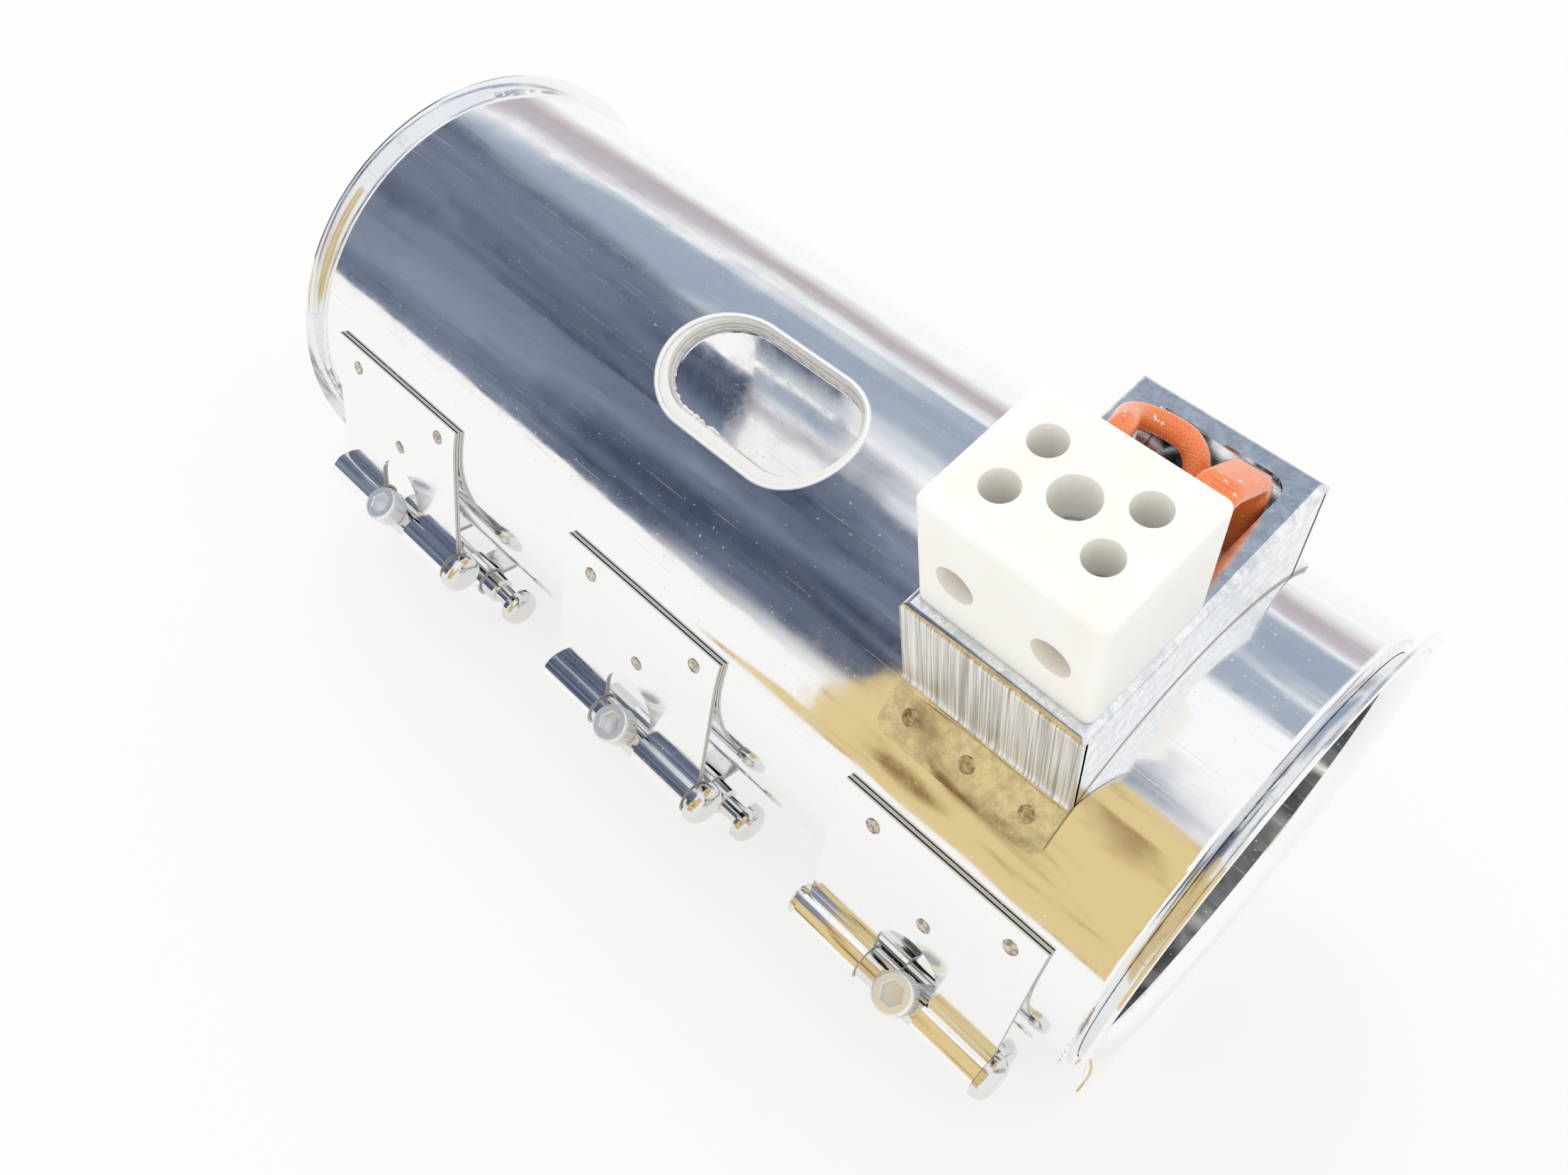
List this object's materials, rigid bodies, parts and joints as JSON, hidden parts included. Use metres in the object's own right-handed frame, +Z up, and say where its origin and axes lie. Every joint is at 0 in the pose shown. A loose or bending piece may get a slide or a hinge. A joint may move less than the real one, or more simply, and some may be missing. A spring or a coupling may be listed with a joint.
{
  "type": "band heater",
  "caption": "Split insulated steel band heater for a machine barrel, with screw clamps along the split, a sensor slot through the wall and a ceramic terminal block on a sheet steel box.",
  "frame": {"origin": "on the bore's axis at the middle of its length", "axes": "+X along the bore towards the end with the terminal box, +Z up from the surface on which the heater lies, -Y towards the clamps"},
  "size_m": [0.2772, 0.1379, 0.1694],
  "materials": {
    "bright_steel": "rolled bright, nearly a mirror, with fine scratches",
    "sleeve_steel": "rolled bright inner sheet",
    "pin_steel": "drawn and bright",
    "zinc_screw": "zinc plated, knurled head",
    "white_fibre": "ceramic fibre paper, matte",
    "mica": "pressed mica sheet",
    "ribbon_alloy": "resistance ribbon, dull",
    "white_ceramic": "unglazed, matte",
    "brass_bar": "milled",
    "orange_sleeve": "lacquered glass fibre braid",
    "nickel_wire": "nickel wire"
  },
  "bodies": {
    "heater": {"outer_shroud": "bright_steel", "terminal_box": "bright_steel", "inner_sleeve": "sleeve_steel", "fibre_blanket": "white_fibre", "outer_mica": "mica", "element_core": "mica", "inner_mica": "mica", "resistance_ribbon": "ribbon_alloy", "ceramic_block": "white_ceramic", "fixing_screw": "zinc_screw", "fixing_nut": "zinc_screw", "near_leaf_1": "bright_steel", "far_leaf_1": "bright_steel", "near_pin_1": "pin_steel", "far_pin_1": "pin_steel", "near_leaf_2": "bright_steel", "far_leaf_2": "bright_steel", "near_pin_2": "pin_steel", "far_pin_2": "pin_steel", "near_leaf_3": "bright_steel", "far_leaf_3": "bright_steel", "near_pin_3": "pin_steel", "far_pin_3": "pin_steel", "terminal_bar_1": "brass_bar", "lead_conductor_1": "nickel_wire", "lead_sleeve_1": "orange_sleeve", "terminal_bar_2": "brass_bar", "lead_conductor_2": "nickel_wire", "lead_sleeve_2": "orange_sleeve"},
    "clamp_screw_1": {"clamp_screw_1": "zinc_screw"},
    "clamp_screw_2": {"clamp_screw_2": "zinc_screw"},
    "clamp_screw_3": {"clamp_screw_3": "zinc_screw"},
    "terminal_screw_1": {"terminal_screw_1": "zinc_screw"},
    "terminal_screw_2": {"terminal_screw_2": "zinc_screw"},
    "terminal_screw_3": {"terminal_screw_3": "zinc_screw"},
    "terminal_screw_4": {"terminal_screw_4": "zinc_screw"}
  },
  "joints": [
    {"name": "clamp_screw_1_turn", "type": "hinge", "parent": "heater", "child": "clamp_screw_1", "pos_m": [-0.0976, -0.06535, -0.03022], "axis": [0, -0.537, 0.8436], "continuous": true},
    {"name": "clamp_screw_2_turn", "type": "hinge", "parent": "heater", "child": "clamp_screw_2", "pos_m": [0.0036, -0.06535, -0.03022], "axis": [0, -0.537, 0.8436], "continuous": true},
    {"name": "clamp_screw_3_turn", "type": "hinge", "parent": "heater", "child": "clamp_screw_3", "pos_m": [0.099, -0.06535, -0.03022], "axis": [0, -0.537, 0.8436], "continuous": true},
    {"name": "terminal_screw_1_turn", "type": "hinge", "parent": "heater", "child": "terminal_screw_1", "pos_m": [0.07905, -0.04487, 0.08757], "axis": [0, -0.2591, 0.9659], "continuous": true},
    {"name": "terminal_screw_2_turn", "type": "hinge", "parent": "heater", "child": "terminal_screw_2", "pos_m": [0.07905, -0.03318, 0.0907], "axis": [0, -0.2591, 0.9659], "continuous": true},
    {"name": "terminal_screw_3_turn", "type": "hinge", "parent": "heater", "child": "terminal_screw_3", "pos_m": [0.09995, -0.04487, 0.08757], "axis": [0, -0.2591, 0.9659], "continuous": true},
    {"name": "terminal_screw_4_turn", "type": "hinge", "parent": "heater", "child": "terminal_screw_4", "pos_m": [0.09995, -0.03318, 0.0907], "axis": [0, -0.2591, 0.9659], "continuous": true}
  ]
}
